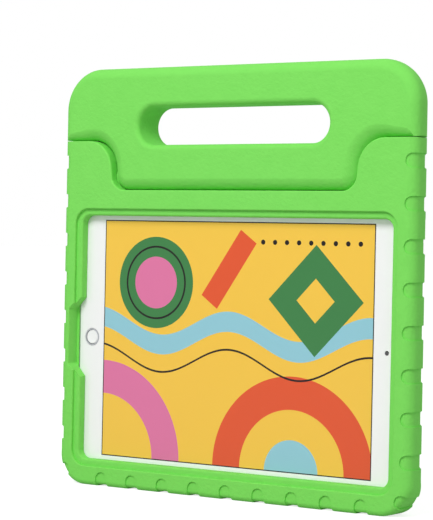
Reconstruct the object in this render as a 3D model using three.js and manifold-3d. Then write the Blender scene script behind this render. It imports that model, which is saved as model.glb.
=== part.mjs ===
// Foam tablet case for children with a fold-back carrying handle, and the tablet that it holds.
// Units are millimetres. X runs across the front, Y from front to back and Z up.
// The origin is the middle of the bottom edge that the case stands on.

import * as THREE from 'three';
import { mergeVertices } from 'three/addons/utils/BufferGeometryUtils.js';
import Module from 'manifold-3d';

const wasm = await Module();
wasm.setup();

// Tablet
const tabletWidth = 250.6;
const tabletHeight = 174.1;
const tabletThickness = 7.5;
const tabletCornerRadius = 9;
const tabletBackEdgeRadius = 3;
const housingWall = 1.2;
const housingFloor = 0.9;
const glassThickness = 1.1;
const glassRimWidth = 0.8;
const glassRimRecess = 0.1;
const displaySideBorder = 18.3;
const displayEndBorder = 6.05;
const displayThickness = 2;
const batteryOuterSpace = 38.3;
const batteryEndSpace = 23.05;
const batteryThickness = 2.6;
const batteryGap = 6;
const boardInset = 15.3;
const boardWidth = 17;
const boardEndSpace = 32.05;
const boardThickness = 1.8;
const speakerWidth = 10;
const speakerHeight = 26;
const speakerThickness = 3;
const speakerSpread = 52;

// Buttons, cameras and sockets of the tablet
const homeButtonInset = 10.8;
const homeButtonRadius = 4.6;
const homeRingWidth = 0.7;
const homeButtonThickness = 1.4;
const homeButtonTravel = 0.3;
const homeStemLength = 1;
const homeSwitchSize = 5;
const sideButtonProud = 0.5;
const sideButtonTravel = 0.3;
const sideButtonDepth = 2.2;
const sideButtonSection = 2.4;
const powerButtonLength = 12;
const powerButtonInset = 27.05;
const volumeButtonLength = 11;
const volumeButtonPitch = 14;
const volumeButtonInset = 33.3;
const buttonHollowMargin = 1;
const sideFittingSetback = 0.6;
const frontCameraInset = 11.3;
const frontCameraLensRadius = 1.2;
const frontCameraRadius = 3;
const frontCameraDepth = 2.6;
const rearCameraRadius = 4.2;
const rearCameraInsetX = 14;
const rearCameraInsetZ = 14;
const rearCameraDepth = 4.2;
const rearLensThickness = 0.7;
const chargePortLength = 9;
const chargePortWidth = 3.2;
const chargePortDepth = 7;
const chargePortShell = 0.5;
const jackBoreRadius = 1.8;
const jackShell = 1.1;
const jackDepth = 13;
const jackInset = 12.55;
const jackSetback = 0.3;
const socketRecess = 1.4;
const socketEndWall = 1;

// Foam case body
const caseDepth = 24;
const sideWall = 10.3;
const bottomWall = 11.25;
const topBar = 11.6;
const rimAboveGlass = 8.3;
const lipThickness = 5.8;
const lipOverlap = 5.6;
const lipWidth = 4.4;
const windowCornerRadius = 6;
const topCornerRadius = 27.5;
const bottomCornerRadius = 21.5;
const frontEdgeRadius = 8;
const backEdgeRadius = 11;
const bottomFrontEdgeRadius = 3.5;
const bottomBackEdgeRadius = 6;

// Parting between the body and the handle
const shoulderWidth = 46.6;
const tongueCornerRadius = 9.5;
const cheekSlant = 9.6;
const wingCornerRadius = 22;
const shoulderRise = 32.6;
const partingGap = 0.5;
const handlePartingEdge = 6.5;
const bodyPartingEdge = 2;
const backPartingEdge = 2;
const slightEdge = 0.3;

// Handle
const slotRise = 29.1;
const slotHeight = 27.6;
const slotEndWidth = 62.4;
const gripHeight = 23.4;
const slotEdgeRadius = 3;

// Hinge
const knuckleRadius = 9;
const knuckleDrop = 1.5;
const knuckleOverhang = 5.7;
const knuckleGap = 0.5;
const foldLimit = 110;
const wingSlopeStart = 3;
const pinRadius = 2.5;
const pinLength = 34;
const bushWall = 1.6;
const bushLength = 14;
const bushFlangeRadius = 6.6;
const bushFlangeThickness = 1.4;

// Grip notches round the rim
const notchWidth = 9.1;
const notchDepth = 1;
const sideNotchReach = 7.1;
const sideNotchPitch = 26;
const sideNotchDrop = 14.5;
const bottomNotchReach = 9.4;
const bottomNotchPitch = 25.1;
const bottomNotchShift = 1.9;
const cornerNotchReach = 6.1;
const cornerNotchDip = 38;

// Cut-outs of the body
const thumbCutHalfHeight = 18.3;
const thumbCutRimWidth = 7.6;
const thumbCutPastLip = 2;
const chargeHoleHeight = 17;
const chargeHoleDepth = 6.6;
const cameraHoleRadius = 8;
const cameraHoleFlare = 2.5;
const reliefHeight = 14.4;
const reliefDepth = 1.2;
const reliefStart = 15.5;

// Clearances
const tabletClearance = 0.3;
const pieceGap = 0.3;
const turningGap = 0.3;

// How far a cut runs past the face that it opens
const overshoot = 1;
const beyond = 12;

// Smoothness of the round stretches
const cornerSteps = 8;
const edgeSteps = 4;
const notchSteps = 6;
const roundSteps = 24;
const reliefSteps = 14;

// Places worked out from the dimensions above
const yFront = -caseDepth / 2;
const yBack = caseDepth / 2;
const yGlass = yFront + rimAboveGlass;
const yTabletBack = yGlass + tabletThickness;
const yLip = yGlass - pieceGap - lipThickness;
const pocketHalfWidth = tabletWidth / 2 + tabletClearance;
const caseHalfWidth = pocketHalfWidth + sideWall;
const tongueHalfWidth = caseHalfWidth - shoulderWidth;
const wingHalfGap = tongueHalfWidth + cheekSlant;
const knuckleHalfLength = tongueHalfWidth + knuckleOverhang;
const slotHalfLength = caseHalfWidth - slotEndWidth;
const zTablet = bottomWall + tabletClearance + tabletHeight / 2;
const zPocketTop = zTablet + tabletHeight / 2 + tabletClearance;
const zParting = zPocketTop + topBar;
const zShoulder = zParting + shoulderRise;
const zSlotBottom = zParting + slotRise;
const zSlotTop = zSlotBottom + slotHeight;
const zTop = zSlotTop + gripHeight;
const zJack = zTablet + tabletHeight / 2 - jackInset;
const hinge = { y: yBack - knuckleRadius, z: zParting + knuckleRadius - knuckleDrop };

// Wraps a closed three.js geometry as a solid that can be cut and joined.
function solidOf(geometry) {
  geometry.deleteAttribute('normal');
  geometry.deleteAttribute('uv');
  const merged = mergeVertices(geometry, 1e-4);
  const vertProperties = new Float32Array(merged.attributes.position.array);
  const triVerts = new Uint32Array(merged.index.array);
  const mesh = new wasm.Mesh({ numProp: 3, vertProperties, triVerts });
  mesh.merge();
  return new wasm.Manifold(mesh);
}

// Turns a solid back into a three.js geometry.
function geometryOf(solid) {
  const mesh = solid.getMesh();
  const geometry = new THREE.BufferGeometry();
  const positions = new Float32Array(mesh.numVert * 3);
  for (let i = 0; i < mesh.numVert; i += 1) {
    positions.set(mesh.vertProperties.subarray(i * mesh.numProp, i * mesh.numProp + 3), i * 3);
  }
  geometry.setAttribute('position', new THREE.BufferAttribute(positions, 3));
  geometry.setIndex(new THREE.BufferAttribute(new Uint32Array(mesh.triVerts), 1));
  return geometry;
}

const union = (solids) => solids.reduce((joined, next) => joined.add(next));

// Path through the given corners, each {x, z, r}, with an arc of radius r at a corner that has one.
function roundedPath(corners, closed) {
  const points = [];
  corners.forEach((corner, i) => {
    const at = new THREE.Vector2(corner.x, corner.z);
    const open = !closed && (i === 0 || i === corners.length - 1);
    if (!corner.r || open) {
      points.push(at);
      return;
    }
    const last = corners[(i + corners.length - 1) % corners.length];
    const next = corners[(i + 1) % corners.length];
    const back = new THREE.Vector2(last.x, last.z).sub(at).normalize();
    const ahead = new THREE.Vector2(next.x, next.z).sub(at).normalize();
    const half = Math.acos(back.dot(ahead)) / 2;
    const centre = back.clone().add(ahead).normalize().multiplyScalar(corner.r / Math.sin(half)).add(at);
    const start = back.clone().multiplyScalar(corner.r / Math.tan(half)).add(at);
    const turn = Math.sign(-back.cross(ahead)) * (Math.PI - 2 * half);
    for (let k = 0; k <= cornerSteps; k += 1) {
      points.push(start.clone().rotateAround(centre, (turn * k) / cornerSteps));
    }
  });
  return points.filter((point, i) => i === 0 || point.distanceTo(points[i - 1]) > 1e-6);
}

// Rectangle with rounded corners, anticlockwise as seen from the front.
function roundedRectangle(halfWidth, zLow, zHigh, lowRadius, highRadius) {
  return roundedPath([
    { x: -halfWidth, z: zLow, r: lowRadius },
    { x: halfWidth, z: zLow, r: lowRadius },
    { x: halfWidth, z: zHigh, r: highRadius },
    { x: -halfWidth, z: zHigh, r: highRadius },
  ], true);
}

// Outward unit normals at the points of an anticlockwise outline.
function outwardNormals(outline) {
  return outline.map((point, i) => {
    const last = outline[(i + outline.length - 1) % outline.length];
    const next = outline[(i + 1) % outline.length];
    const before = point.clone().sub(last).normalize();
    const after = next.clone().sub(point).normalize();
    const along = before.add(after).normalize();
    return new THREE.Vector2(along.y, -along.x);
  });
}

// Solid with a flat face at the front and back of an outline, and a quarter round along each edge.
// radiusAt gives the front or back radius at an outline point, or 0 for square edges all round.
// grow moves the whole outline outwards. reach carries both ends straight on past their faces.
// A flare of 1 widens towards the faces.
function edgedSolid(outline, front, back, radiusAt, { grow = 0, reach = 0, flare = -1 } = {}) {
  const normals = outwardNormals(outline);
  const ringAt = (place) => outline.map((point, i) => {
    const { y, shift } = place(point);
    const moved = normals[i].clone().multiplyScalar(grow + flare * shift).add(point);
    return new THREE.Vector3(moved.x, y, moved.y);
  });
  const quarterRound = (side, face, inwards) => {
    const square = outline.every((point) => radiusAt(point, side) === 0);
    const steps = square ? 0 : edgeSteps;
    const rings = [];
    if (reach > 0) {
      rings.push(ringAt((point) => ({ y: face - inwards * reach, shift: radiusAt(point, side) })));
    }
    for (let k = 0; k <= steps; k += 1) {
      const angle = square ? 0 : (Math.PI / 2) * (k / steps);
      rings.push(ringAt((point) => {
        const radius = radiusAt(point, side);
        return { y: face + inwards * radius * (1 - Math.cos(angle)), shift: radius * (1 - Math.sin(angle)) };
      }));
    }
    return rings;
  };
  return loftedSolid([...quarterRound('front', front, 1), ...quarterRound('back', back, -1).reverse()]);
}

// Closed solid through rings of points that follow one another from front to back.
function loftedSolid(rings) {
  const count = rings[0].length;
  const index = [];
  for (let k = 0; k + 1 < rings.length; k += 1) {
    for (let i = 0; i < count; i += 1) {
      const j = (i + 1) % count;
      const [a, b, c, d] = [k * count + i, (k + 1) * count + i, k * count + j, (k + 1) * count + j];
      index.push(a, b, c, c, b, d);
    }
  }
  const flat = (ring) => ring.map((point) => new THREE.Vector2(point.x, point.z));
  const capOf = (ring) => THREE.ShapeUtils.triangulateShape(flat(ring), []);
  const last = (rings.length - 1) * count;
  capOf(rings[0]).forEach(([a, b, c]) => index.push(a, b, c));
  capOf(rings[rings.length - 1]).forEach(([a, b, c]) => index.push(last + a, last + c, last + b));
  const geometry = new THREE.BufferGeometry().setFromPoints(rings.flat());
  geometry.setIndex(index);
  return solidOf(geometry);
}

// Straight prism from one Y to another over an outline in X and Z.
function prismY(outline, from, to) {
  const settings = { depth: to - from, bevelEnabled: false };
  const geometry = new THREE.ExtrudeGeometry(new THREE.Shape(outline), settings);
  geometry.rotateX(Math.PI / 2);
  geometry.translate(0, to, 0);
  return solidOf(geometry);
}

// Straight prism from one X to another over an outline in Y and Z.
function prismX(outline, from, to) {
  const settings = { depth: to - from, bevelEnabled: false };
  const geometry = new THREE.ExtrudeGeometry(new THREE.Shape(outline), settings);
  const axes = new THREE.Matrix4().makeBasis(
    new THREE.Vector3(0, 1, 0),
    new THREE.Vector3(0, 0, 1),
    new THREE.Vector3(1, 0, 0),
  );
  geometry.applyMatrix4(axes);
  geometry.translate(from, 0, 0);
  return solidOf(geometry);
}

// Box between two opposite corners.
function boxBetween(low, high) {
  const size = high.map((value, i) => value - low[i]);
  const middle = high.map((value, i) => (value + low[i]) / 2);
  return solidOf(new THREE.BoxGeometry(...size).translate(...middle));
}

// Turned solid about a line along X, from points [radius, x] that start and end on the line.
function turnedX(profile, y, z) {
  const geometry = new THREE.LatheGeometry(profile.map(([r, x]) => new THREE.Vector2(r, x)), roundSteps);
  geometry.rotateZ(-Math.PI / 2);
  geometry.translate(0, y, z);
  return solidOf(geometry);
}

// Turned solid about a line along Y, from points [radius, y] that start and end on the line.
function turnedY(profile, x, z) {
  const geometry = new THREE.LatheGeometry(profile.map(([r, y]) => new THREE.Vector2(r, y)), roundSteps);
  geometry.translate(x, 0, z);
  return solidOf(geometry);
}

const rodX = (radius, from, to, y, z) => turnedX([[0, from], [radius, from], [radius, to], [0, to]], y, z);
const rodY = (radius, from, to, x, z) => turnedY([[0, from], [radius, from], [radius, to], [0, to]], x, z);

// Outlines that several pieces share
const caseOutline = roundedRectangle(caseHalfWidth, 0, zTop, bottomCornerRadius, topCornerRadius);
const tabletOutline = roundedRectangle(
  tabletWidth / 2,
  zTablet - tabletHeight / 2,
  zTablet + tabletHeight / 2,
  tabletCornerRadius,
  tabletCornerRadius,
);

// Rectangle round the tablet's middle, with each side moved out or in from the tablet's edge.
function aroundTablet(offset, radius) {
  const low = zTablet - tabletHeight / 2 - offset;
  const high = zTablet + tabletHeight / 2 + offset;
  return roundedRectangle(tabletWidth / 2 + offset, low, high, radius, radius);
}

// Radius of the slab's front or back edge at a height: smaller along the bottom, where the two edges
// leave a deeper flat to stand on.
function slabEdge(side, z) {
  const [low, full] = side === 'front'
    ? [bottomFrontEdgeRadius, frontEdgeRadius]
    : [bottomBackEdgeRadius, backEdgeRadius];
  return THREE.MathUtils.lerp(low, full, THREE.MathUtils.clamp(z / bottomCornerRadius, 0, 1));
}

// Whole rounded slab of foam that the body and the handle are both parts of.
function foamSlab(inset) {
  const radiusAt = (point, side) => slabEdge(side, point.y) - inset;
  return edgedSolid(caseOutline, yFront + inset, yBack - inset, radiusAt, { grow: -inset });
}

// Line where the handle meets the body, from left to right: tongue, slanted cheeks and level wings.
function partingLine() {
  const end = caseHalfWidth + beyond;
  const half = [
    { x: tongueHalfWidth, z: zParting, r: tongueCornerRadius },
    { x: wingHalfGap, z: zShoulder, r: wingCornerRadius },
    { x: end, z: zShoulder },
  ];
  const mirrored = half.map(({ x, z, r }) => ({ x: -x, z, r })).reverse();
  return roundedPath([...mirrored, ...half], false);
}

// Height of the parting line at a place across the case.
function partingHeight(x) {
  const line = partingLine().filter((point) => point.x >= 0);
  const right = line.findIndex((point) => point.x >= Math.abs(x));
  if (right <= 0) {
    return zParting;
  }
  const [a, b] = [line[right - 1], line[right]];
  return a.y + ((b.y - a.y) * (Math.abs(x) - a.x)) / (b.x - a.x);
}

// Radius of the rounded parting edge, which fades out before the side of the case.
function partingEdge(full, x) {
  const fadeStart = wingHalfGap + wingCornerRadius;
  const fadeEnd = caseHalfWidth;
  const fade = THREE.MathUtils.smoothstep(Math.abs(x), fadeStart, fadeEnd);
  return Math.max(full * (1 - fade), slightEdge);
}

// Everything above the parting line, with the handle's rounded edges along the line.
function aboveParting() {
  const line = partingLine();
  const end = caseHalfWidth + beyond;
  const high = zTop + beyond;
  const outline = [...line, new THREE.Vector2(end, high), new THREE.Vector2(-end, high)];
  const radiusAt = (point, side) => {
    const full = side === 'front' ? handlePartingEdge : backPartingEdge;
    return point.y > zShoulder + overshoot ? slightEdge : partingEdge(full, point.x);
  };
  return edgedSolid(outline, yFront, yBack, radiusAt, { reach: overshoot });
}

// Everything below the parting line, less the gap, with the body's rounded edges along the line.
function belowParting() {
  const line = partingLine().reverse();
  const end = caseHalfWidth + beyond;
  const outline = [...line, new THREE.Vector2(-end, -beyond), new THREE.Vector2(end, -beyond)];
  const radiusAt = (point, side) => {
    const full = side === 'front' ? bodyPartingEdge : backPartingEdge;
    return point.y < 0 ? slightEdge : partingEdge(full, point.x);
  };
  return edgedSolid(outline, yFront, yBack, radiusAt, { grow: -partingGap, reach: overshoot });
}

// Finger slot with round ends and eased edges on both faces.
function handSlot() {
  const ends = roundedRectangle(slotHalfLength, zSlotBottom, zSlotTop, slotHeight / 2, slotHeight / 2);
  const outline = ends.filter((point, i) => i === 0 || point.distanceTo(ends[0]) > 1e-6);
  return edgedSolid(outline, yFront, yBack, () => slotEdgeRadius, { reach: overshoot, flare: 1 });
}

// Slope that the folded handle's back face comes to rest against, as a line from the hinge's middle.
const restSlope = Math.tan(THREE.MathUtils.degToRad(foldLimit - 90));
const slopeOffset = (knuckleRadius + knuckleGap) / Math.cos(THREE.MathUtils.degToRad(foldLimit - 90));

// Room in the body for the knuckle and for the handle's back as it folds down to its stop.
function knuckleRoom() {
  const radius = knuckleRadius + knuckleGap;
  const half = knuckleHalfLength + knuckleGap;
  const bore = rodX(radius, -half, half, hinge.y, hinge.z);
  const far = yBack + beyond - hinge.y;
  const nearY = (slopeOffset - radius) / -restSlope;
  const outline = [
    new THREE.Vector2(hinge.y + nearY, hinge.z - radius),
    new THREE.Vector2(hinge.y + far, hinge.z - slopeOffset - far * restSlope),
    new THREE.Vector2(hinge.y + far, zShoulder + beyond),
    new THREE.Vector2(hinge.y + nearY, zShoulder + beyond),
  ];
  return bore.add(prismX(outline, -half, half));
}

// Rounds the back of each shoulder about the hinge line, so that the wings swing past it.
function shoulderRelief(side) {
  const start = knuckleHalfLength + knuckleGap;
  const end = caseHalfWidth + beyond / 2;
  const profile = [[0, start]];
  for (let k = 0; k <= reliefSteps; k += 1) {
    const x = start + (end - start) * (k / reliefSteps) ** 2;
    profile.push([partingHeight(x) - partingGap - hinge.z, x]);
  }
  profile.push([0, end]);
  const swept = turnedX(profile.map(([r, x]) => [r, x - start]), 0, 0);
  const corner = boxBetween([0, 0, 0], [end - start, caseDepth, shoulderRise + beyond]);
  const relief = corner.subtract(swept);
  return side > 0
    ? relief.translate([start, hinge.y, hinge.z])
    : relief.mirror([1, 0, 0]).translate([-start, hinge.y, hinge.z]);
}

// Cuts on the back of the handle: a round knuckle under the hinge line, and slopes under the wings
// that meet the body's back when the handle is folded down.
function handleBackCuts() {
  const block = boxBetween(
    [-caseHalfWidth, hinge.y, zParting - beyond],
    [caseHalfWidth, yBack + beyond, hinge.z],
  );
  const knuckle = rodX(knuckleRadius, -knuckleHalfLength, knuckleHalfLength, hinge.y, hinge.z);
  const underKnuckle = block.subtract(knuckle);
  const near = -wingSlopeStart;
  const far = yBack + beyond - hinge.y;
  const wingSlope = [
    new THREE.Vector2(hinge.y + near, hinge.z - beyond * 2),
    new THREE.Vector2(hinge.y + far, hinge.z - beyond * 2),
    new THREE.Vector2(hinge.y + far, hinge.z + slopeOffset + far * restSlope),
    new THREE.Vector2(hinge.y + near, hinge.z + slopeOffset + near * restSlope),
  ];
  const right = prismX(wingSlope, knuckleHalfLength, caseHalfWidth + beyond);
  const left = prismX(wingSlope, -caseHalfWidth - beyond, -knuckleHalfLength);
  return [underKnuckle, right, left];
}

// Outline of one grip notch: a round inner end, straight sides and an open outer end.
function notchOutline(anchor, outward, reach) {
  const radius = notchWidth / 2;
  const centre = outward.clone().multiplyScalar(radius - reach).add(anchor);
  const start = Math.atan2(outward.y, outward.x);
  const points = [];
  for (let k = 0; k <= notchSteps; k += 1) {
    const angle = start + Math.PI / 2 + (Math.PI * k) / notchSteps;
    points.push(new THREE.Vector2(Math.cos(angle), Math.sin(angle)).multiplyScalar(radius).add(centre));
  }
  const span = outward.clone().multiplyScalar(reach + beyond);
  return [...points, points[notchSteps].clone().add(span), points[0].clone().add(span)];
}

// Grip notches down both sides, along the bottom and at the two bottom corners.
function gripNotches() {
  const outlines = [];
  const highest = zShoulder - sideNotchDrop;
  for (let z = highest; z > bottomCornerRadius + notchWidth / 2; z -= sideNotchPitch) {
    for (const side of [1, -1]) {
      const anchor = new THREE.Vector2(side * caseHalfWidth, z);
      outlines.push(notchOutline(anchor, new THREE.Vector2(side, 0), sideNotchReach));
    }
  }
  const outermost = caseHalfWidth - bottomCornerRadius - notchWidth / 2;
  const perSide = Math.floor(outermost / bottomNotchPitch);
  for (let k = -perSide; k <= perSide; k += 1) {
    const anchor = new THREE.Vector2(k * bottomNotchPitch + bottomNotchShift, 0);
    outlines.push(notchOutline(anchor, new THREE.Vector2(0, -1), bottomNotchReach));
  }
  const dip = THREE.MathUtils.degToRad(cornerNotchDip);
  for (const side of [1, -1]) {
    const outward = new THREE.Vector2(side * Math.cos(dip), -Math.sin(dip));
    const centre = new THREE.Vector2(side * (caseHalfWidth - bottomCornerRadius), bottomCornerRadius);
    const anchor = outward.clone().multiplyScalar(bottomCornerRadius).add(centre);
    outlines.push(notchOutline(anchor, outward, cornerNotchReach));
  }
  const prisms = outlines.map((outline) => prismY(outline, yFront - overshoot, yBack + overshoot));
  return union(prisms).subtract(foamSlab(notchDepth));
}

// Gap in the rim and lip beside the home button, with slanted ends, so that a thumb reaches the button.
function thumbCut() {
  const outer = -caseHalfWidth + thumbCutRimWidth;
  const inner = -tabletWidth / 2 + lipOverlap + thumbCutPastLip;
  const innerHalf = thumbCutHalfHeight + (inner - outer);
  const outline = [
    new THREE.Vector2(outer, zTablet + thumbCutHalfHeight),
    new THREE.Vector2(outer, zTablet - thumbCutHalfHeight),
    new THREE.Vector2(inner, zTablet - innerHalf),
    new THREE.Vector2(inner, zTablet + innerHalf),
  ];
  return prismY(outline, yFront - overshoot, yGlass);
}

// Round-ended hole through the left wall for the plug of a charging lead.
function chargeHole() {
  const middle = (yGlass + yTabletBack) / 2;
  const half = chargeHoleDepth / 2;
  const straight = chargeHoleHeight / 2 - half;
  const outline = [];
  for (const end of [1, -1]) {
    for (let k = 0; k <= cornerSteps; k += 1) {
      const angle = (Math.PI * k) / cornerSteps;
      const y = middle + end * half * Math.cos(angle);
      outline.push(new THREE.Vector2(y, zTablet + end * (straight + half * Math.sin(angle))));
    }
  }
  return prismX(outline, -caseHalfWidth - overshoot, -pocketHalfWidth + overshoot);
}

const rearCamera = {
  x: tabletWidth / 2 - rearCameraInsetX,
  z: zTablet - tabletHeight / 2 + rearCameraInsetZ,
};
const rearCameraRod = (radius, from, to) => rodY(radius, from, to, rearCamera.x, rearCamera.z);

// Hole in the back for the camera, widening towards the outside.
function cameraHole() {
  const wide = cameraHoleRadius + cameraHoleFlare;
  const inside = yTabletBack - overshoot;
  const profile = [
    [0, inside],
    [cameraHoleRadius, inside],
    [cameraHoleRadius, yBack - cameraHoleFlare],
    [wide, yBack],
    [wide, yBack + overshoot],
    [0, yBack + overshoot],
  ];
  return turnedY(profile, rearCamera.x, rearCamera.z);
}

// Shallow relief in the right side's back edge, level with the tablet's audio socket.
function sideRelief() {
  const z = zJack;
  const cut = boxBetween(
    [pocketHalfWidth + sideWall / 2, yFront + reliefStart, z - reliefHeight / 2],
    [caseHalfWidth + overshoot, yBack + overshoot, z + reliefHeight / 2],
  );
  return cut.subtract(foamSlab(reliefDepth));
}

// Pockets for the tablet: its own outline, the window over the glass and the step round the window.
function tabletPocket() {
  const radiusAt = (point, side) => (side === 'front' ? 0 : tabletBackEdgeRadius);
  const pocket = edgedSolid(
    tabletOutline,
    yGlass - pieceGap,
    yTabletBack + tabletClearance,
    radiusAt,
    { grow: tabletClearance },
  );
  const windowOutline = aroundTablet(-lipOverlap, windowCornerRadius);
  const window = prismY(windowOutline, yFront - overshoot, yGlass + overshoot);
  const stepOutline = aroundTablet(lipWidth - lipOverlap, windowCornerRadius + lipWidth);
  const step = prismY(stepOutline, yFront - overshoot, yLip);
  return union([pocket, window, step]);
}

const span = (a, b) => [Math.min(a, b), Math.max(a, b)];
const pinStart = knuckleHalfLength + knuckleGap / 2 - pinLength / 2;
const pinEnd = pinStart + pinLength;
const bushBore = pinRadius + turningGap;
const bushRadius = bushBore + bushWall;

// Seats for one hinge bush, cut from a foam face: the sleeve's hole and the flange's recess.
function bushSeat(face, direction) {
  const deep = face - direction * (bushLength + pieceGap);
  const flange = face - direction * (bushFlangeThickness + pieceGap);
  const past = face + direction * overshoot;
  const sleeve = rodX(bushRadius + pieceGap, ...span(deep, past), hinge.y, hinge.z);
  const recess = rodX(bushFlangeRadius + pieceGap, ...span(flange, past), hinge.y, hinge.z);
  return sleeve.add(recess);
}

// Flanged sleeve that lines a pin hole. direction points out of the foam along X.
function bush(face, direction) {
  const outer = face - direction * pieceGap / 2;
  const flange = outer - direction * bushFlangeThickness;
  const inner = face - direction * bushLength;
  const sleeve = rodX(bushRadius, ...span(inner, outer), hinge.y, hinge.z);
  const collar = rodX(bushFlangeRadius, ...span(flange, outer), hinge.y, hinge.z);
  const bore = rodX(bushBore, ...span(inner - direction, outer + direction), hinge.y, hinge.z);
  return sleeve.add(collar).subtract(bore);
}

const cheek = knuckleHalfLength + knuckleGap;
const pinRoom = (side) => {
  const ends = span(side * (pinStart - pieceGap), side * (pinEnd + pieceGap));
  return rodX(pinRadius + turningGap, ...ends, hinge.y, hinge.z);
};

// Foam body of the case.
function caseBody() {
  const cuts = [
    knuckleRoom(),
    shoulderRelief(1),
    shoulderRelief(-1),
    tabletPocket(),
    gripNotches(),
    thumbCut(),
    chargeHole(),
    cameraHole(),
    sideRelief(),
    ...sideButtonHollows(),
    bushSeat(cheek, -1),
    bushSeat(-cheek, 1),
    pinRoom(1),
    pinRoom(-1),
  ];
  return foamSlab(0).intersect(belowParting()).subtract(union(cuts));
}

// Foam handle: grip bar, finger slot, wings over the shoulders and the tongue that carries the hinge.
function handle() {
  const knuckleCore = rodX(knuckleRadius, -knuckleHalfLength, knuckleHalfLength, hinge.y, hinge.z);
  const upper = foamSlab(0).intersect(aboveParting()).subtract(union(handleBackCuts()));
  const cuts = [
    handSlot(),
    bushSeat(knuckleHalfLength, 1),
    bushSeat(-knuckleHalfLength, -1),
    pinRoom(1),
    pinRoom(-1),
  ];
  return upper.add(knuckleCore).subtract(union(cuts));
}

const homeButtonX = -tabletWidth / 2 + homeButtonInset;
const homeRingRadius = homeButtonRadius + pieceGap + homeRingWidth;
const frontCameraX = tabletWidth / 2 - frontCameraInset;
const yGlassBack = yGlass + glassThickness;
const yDisplay = yGlassBack + pieceGap;
const yFloor = yTabletBack - housingFloor;
const housingInnerRadius = tabletBackEdgeRadius - housingFloor;
const ySideButton = (yGlass + yTabletBack) / 2 + sideFittingSetback;

// Places along the tablet's right and bottom edges where its side buttons sit.
const xTabletEdge = tabletWidth / 2;
const zTabletEdge = zTablet - tabletHeight / 2;
const powerButtonZ = zTabletEdge + powerButtonInset;
const volumeButtonX = (k) => xTabletEdge - volumeButtonInset - k * volumeButtonPitch;

// Box of the power button, reaching inwards and outwards of the tablet's edge, with a margin round it.
function powerButtonBox(inwards, outwards, margin) {
  const half = [sideButtonSection / 2 + margin, powerButtonLength / 2 + margin];
  return boxBetween(
    [xTabletEdge - inwards, ySideButton - half[0], powerButtonZ - half[1]],
    [xTabletEdge + outwards, ySideButton + half[0], powerButtonZ + half[1]],
  );
}

// The same for the volume buttons on the bottom edge, counted from the right.
function volumeButtonBox(k, inwards, outwards, margin) {
  const half = [volumeButtonLength / 2 + margin, sideButtonSection / 2 + margin];
  return boxBetween(
    [volumeButtonX(k) - half[0], ySideButton - half[1], zTabletEdge - outwards],
    [volumeButtonX(k) + half[0], ySideButton + half[1], zTabletEdge + inwards],
  );
}

const sideButtonBoxes = [
  powerButtonBox,
  (...sizes) => volumeButtonBox(0, ...sizes),
  (...sizes) => volumeButtonBox(1, ...sizes),
];
const [powerButton, volumeUpButton, volumeDownButton] = sideButtonBoxes.map(
  (box) => () => box(sideButtonDepth, sideButtonProud, 0),
);

// Slots in the housing that the side buttons slide in.
function sideButtonSlots() {
  const inwards = sideButtonDepth + sideButtonTravel + pieceGap;
  return sideButtonBoxes.map((box) => box(inwards, overshoot, pieceGap));
}

// Hollows in the foam over the side buttons, which are pressed through it.
function sideButtonHollows() {
  return sideButtonBoxes.map((box) => box(overshoot, sideButtonProud + pieceGap, buttonHollowMargin));
}

const xPortEnd = -xTabletEdge + chargePortDepth;

// Box of the charging socket's bore from one X to another, grown by a margin.
function chargePortBox(grow, from, to) {
  const middle = (yGlass + yTabletBack) / 2 + sideFittingSetback;
  return boxBetween(
    [from, middle - chargePortWidth / 2 - grow, zTablet - chargePortLength / 2 - grow],
    [to, middle + chargePortWidth / 2 + grow, zTablet + chargePortLength / 2 + grow],
  );
}

const jack = {
  y: (yGlass + yTabletBack) / 2 + jackSetback,
  z: zJack,
  radius: jackBoreRadius + jackShell,
};

// Rear housing of the tablet: a shallow metal tray with a recessed rim that frames the glass.
function tabletHousing() {
  const radiusAt = (point, side) => (side === 'front' ? 0 : tabletBackEdgeRadius);
  const outer = edgedSolid(tabletOutline, yGlass + glassRimRecess, yTabletBack, radiusAt);
  const cavity = edgedSolid(
    aroundTablet(-housingWall - glassRimWidth, tabletCornerRadius - housingWall - glassRimWidth),
    yGlass - overshoot,
    yFloor,
    (point, side) => (side === 'front' ? 0 : housingInnerRadius),
  );
  const glassSeat = prismY(
    aroundTablet(-glassRimWidth + pieceGap, tabletCornerRadius - glassRimWidth + pieceGap),
    yGlass - overshoot,
    yGlassBack + pieceGap,
  );
  const cuts = [
    cavity,
    glassSeat,
    ...sideButtonSlots(),
    chargePortBox(chargePortShell + pieceGap, -xTabletEdge - overshoot, xPortEnd),
    rodX(jack.radius + pieceGap, xTabletEdge - jackDepth, xTabletEdge + overshoot, jack.y, jack.z),
    rearCameraRod(rearCameraRadius + pieceGap, yFloor - overshoot, yTabletBack + overshoot),
  ];
  return outer.subtract(union(cuts));
}

// Cover glass with the holes for the home button and the front camera.
function coverGlass() {
  const plate = prismY(aroundTablet(-glassRimWidth, tabletCornerRadius - glassRimWidth), yGlass, yGlassBack);
  const ends = [yGlass - overshoot, yGlassBack + overshoot];
  const holes = [
    rodY(homeRingRadius + pieceGap, ...ends, homeButtonX, zTablet),
    rodY(frontCameraLensRadius + pieceGap, ...ends, frontCameraX, zTablet),
  ];
  return plate.subtract(union(holes));
}

// Flat slab centred at a place across the tablet, from its back face forwards.
function innerSlab(x, z, width, height, back, thickness) {
  return boxBetween(
    [x - width / 2, back - thickness, z - height / 2],
    [x + width / 2, back, z + height / 2],
  );
}

const yInnerBack = yFloor - pieceGap;
const batteryWidth = xTabletEdge - batteryOuterSpace - batteryGap / 2;
const batteryMiddle = (batteryWidth + batteryGap) / 2;
const boardX = xTabletEdge - boardInset - boardWidth / 2;
const xInnerWall = xTabletEdge - housingWall - glassRimWidth;
const speakerX = -xInnerWall + housingInnerRadius + speakerWidth / 2;

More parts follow.
